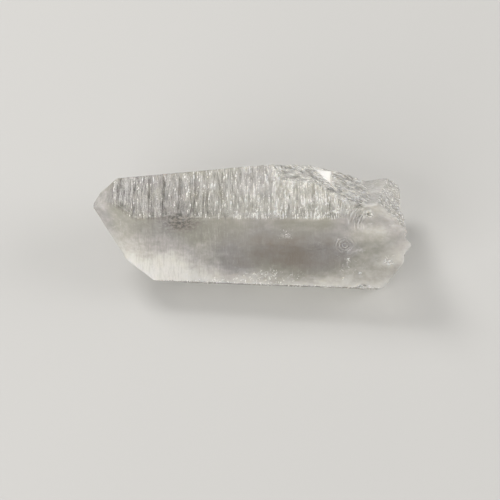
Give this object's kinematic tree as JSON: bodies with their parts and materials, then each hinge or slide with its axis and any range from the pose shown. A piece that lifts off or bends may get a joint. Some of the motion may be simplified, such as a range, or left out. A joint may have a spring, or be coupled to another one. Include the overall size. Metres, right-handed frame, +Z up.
{
  "type": "quartz crystal point",
  "caption": "Natural quartz point lying on a side face, with growth ladders across its upper side face, a faceted tip and a broken base.",
  "frame": {"origin": "centre of the crystal's bounding box, on the surface that it lies on", "axes": "+X along the crystal from its tip to its broken base, +Z up out of the laddered face, -Y towards the smooth face"},
  "size_m": [0.0652, 0.028, 0.0219],
  "materials": {
    "quartz": "clear to milky quartz, frosted by growth lines on the upper face, glossy elsewhere"
  },
  "bodies": {
    "root": {"quartz_point": "quartz"}
  },
  "joints": []
}
